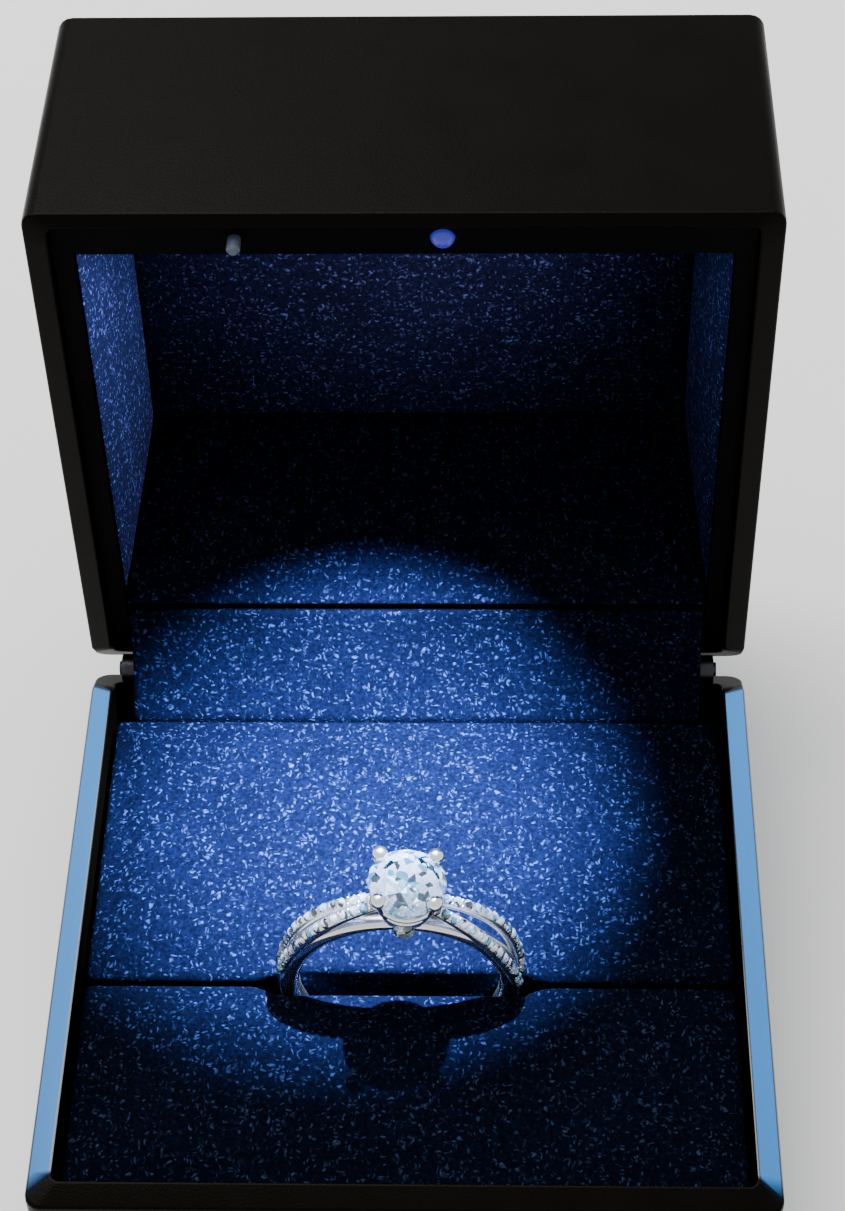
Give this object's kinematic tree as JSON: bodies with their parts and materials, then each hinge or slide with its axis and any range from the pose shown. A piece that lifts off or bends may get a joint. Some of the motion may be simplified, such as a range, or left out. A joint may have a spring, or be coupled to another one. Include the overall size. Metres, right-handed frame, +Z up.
{
  "type": "lighted ring box",
  "caption": "Hinged black ring box standing open, with a navy velvet cushion and lid lining, a ring in the slot and a lamp in the lid that a shutting switch turns off.",
  "frame": {"origin": "middle of the base's underside", "axes": "+X to the right, +Y from the front towards the hinge, +Z up"},
  "size_m": [0.065, 0.0889, 0.0794],
  "materials": {
    "case_lacquer": "satin black-brown lacquer over moulded shell, fine orange peel",
    "bezel_plastic": "matt black moulded plastic",
    "board_card": "stiff grey board, stood in for by matt plastic",
    "velvet": "deep navy short-pile velvet with bright glints",
    "hinge_steel": "plated steel",
    "spring_steel": "drawn spring wire",
    "ring_metal": "polished white precious metal",
    "clear_stone": "clear cut stone",
    "lamp_lens": "clear moulded lamp, glowing blue-white",
    "circuit_board": "green solder mask",
    "plunger_plastic": "off-white moulded plastic",
    "cell_steel": "plated cell can",
    "contact_brass": "stamped brass",
    "wire_jacket": "thin insulated wire"
  },
  "bodies": {
    "root": {"base_shell": "case_lacquer", "cushion_card": "board_card", "cushion_rear": "velvet", "cushion_front": "velvet", "hinge_base_leaf": "hinge_steel", "hinge_base_rivets": "hinge_steel", "hinge_pin": "hinge_steel", "hinge_spring": "spring_steel", "hinge_flap": "velvet", "ring_shank": "ring_metal", "ring_head": "ring_metal", "centre_stone": "clear_stone", "accent_stone": "clear_stone", "pave_stones": "clear_stone"},
    "lid": {"lid_shell": "case_lacquer", "lid_bezel": "bezel_plastic", "lining_ceiling": "velvet", "lining_rear": "velvet", "lining_front": "velvet", "lining_left": "velvet", "lining_right": "velvet", "hinge_lid_leaf": "hinge_steel", "hinge_lid_rivets": "hinge_steel", "lamp": "lamp_lens", "lamp_board": "circuit_board", "switch_body": "bezel_plastic", "switch_spring": "spring_steel", "battery_holder": "bezel_plastic", "coin_cells": "cell_steel", "battery_contacts": "contact_brass", "lamp_wires": "wire_jacket"},
    "plunger": {"switch_plunger": "plunger_plastic"}
  },
  "joints": [
    {"name": "lid_hinge", "type": "hinge", "parent": "root", "child": "lid", "pos_m": [0, 0.0283, 0.0211], "axis": [1, 0, 0], "range_deg": [0, 91.5], "deforming": ["hinge_flap", "hinge_spring"]},
    {"name": "switch_press", "type": "slide", "parent": "lid", "child": "plunger", "axis": [0, 0.9997, -0.0262], "range_m": [0, 0.0007], "deforming": ["switch_spring"]}
  ],
  "couplings": [
    {"joint": "switch_press", "follows": "lid_hinge", "m_per_rad": 0.00042956}
  ]
}
